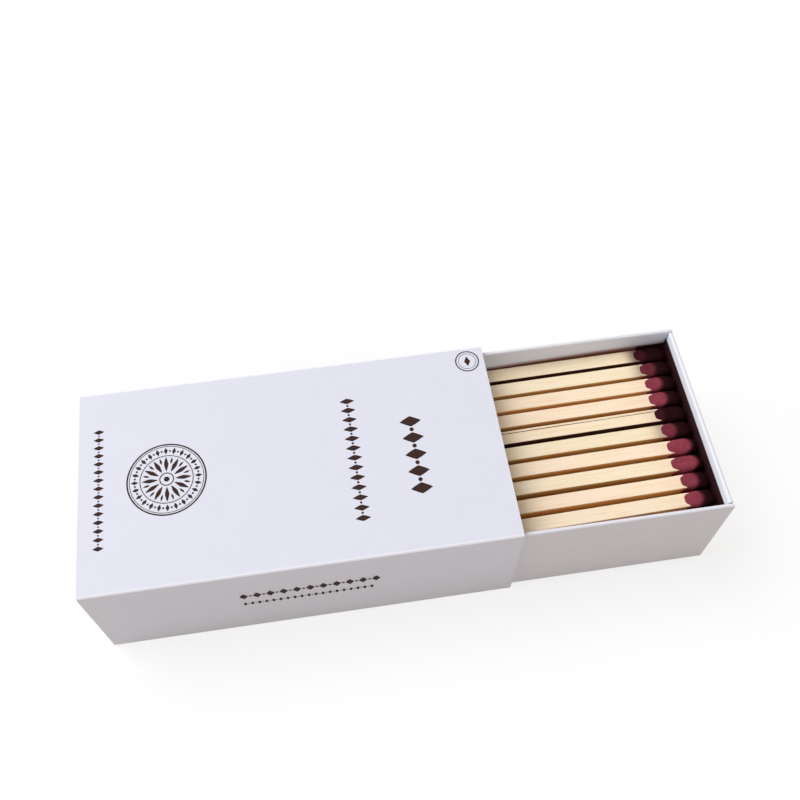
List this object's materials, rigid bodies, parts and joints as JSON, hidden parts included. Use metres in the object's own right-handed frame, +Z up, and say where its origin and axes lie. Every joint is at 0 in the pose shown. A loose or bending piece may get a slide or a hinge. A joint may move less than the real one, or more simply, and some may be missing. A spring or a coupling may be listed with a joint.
{
  "type": "matchbox",
  "caption": "Slide-open box of long wooden matches: a folded card tray with double walls, drawn half out of an open-ended card sleeve.",
  "frame": {"origin": "centre of the sleeve's underside, on the surface it rests on", "axes": "+X along the sleeve toward the end where the tray is drawn out, +Y toward the striking surface at the rear, +Z up"},
  "size_m": [0.1578, 0.0554, 0.0358],
  "materials": {
    "sleeve_card": "smooth coated white board",
    "tray_card": "smooth uncoated white board",
    "striker": "fine abrasive coat, dull red brown",
    "splint_wood": "pale raw poplar",
    "match_compound": "dull burgundy match compound",
    "packed_matches": "pale raw poplar with dull burgundy heads"
  },
  "bodies": {
    "sleeve": {"sleeve": "sleeve_card", "striker_strip": "striker"},
    "tray": {"tray": "tray_card", "packed_matches_1": "packed_matches", "packed_matches_2": "packed_matches", "packed_matches_3": "packed_matches", "packed_matches_4": "packed_matches", "top_splint_01": "splint_wood", "top_head_01": "match_compound", "top_splint_02": "splint_wood", "top_head_02": "match_compound", "top_splint_03": "splint_wood", "top_head_03": "match_compound", "top_splint_04": "splint_wood", "top_head_04": "match_compound", "top_splint_05": "splint_wood", "top_head_05": "match_compound", "top_splint_06": "splint_wood", "top_head_06": "match_compound", "top_splint_07": "splint_wood", "top_head_07": "match_compound", "top_splint_08": "splint_wood", "top_head_08": "match_compound", "top_splint_09": "splint_wood", "top_head_09": "match_compound", "top_splint_10": "splint_wood", "top_head_10": "match_compound", "second_splint_01": "splint_wood", "second_head_01": "match_compound", "second_splint_02": "splint_wood", "second_head_02": "match_compound", "second_splint_03": "splint_wood", "second_head_03": "match_compound", "second_splint_04": "splint_wood", "second_head_04": "match_compound", "second_splint_05": "splint_wood", "second_head_05": "match_compound", "second_splint_06": "splint_wood", "second_head_06": "match_compound", "second_splint_07": "splint_wood", "second_head_07": "match_compound", "second_splint_08": "splint_wood", "second_head_08": "match_compound", "second_splint_09": "splint_wood", "second_head_09": "match_compound", "second_splint_10": "splint_wood", "second_head_10": "match_compound"}
  },
  "joints": [
    {"name": "tray_slide", "type": "slide", "parent": "sleeve", "child": "tray", "axis": [1, 0, 0], "range_m": [-0.1478, 0.0422]}
  ]
}
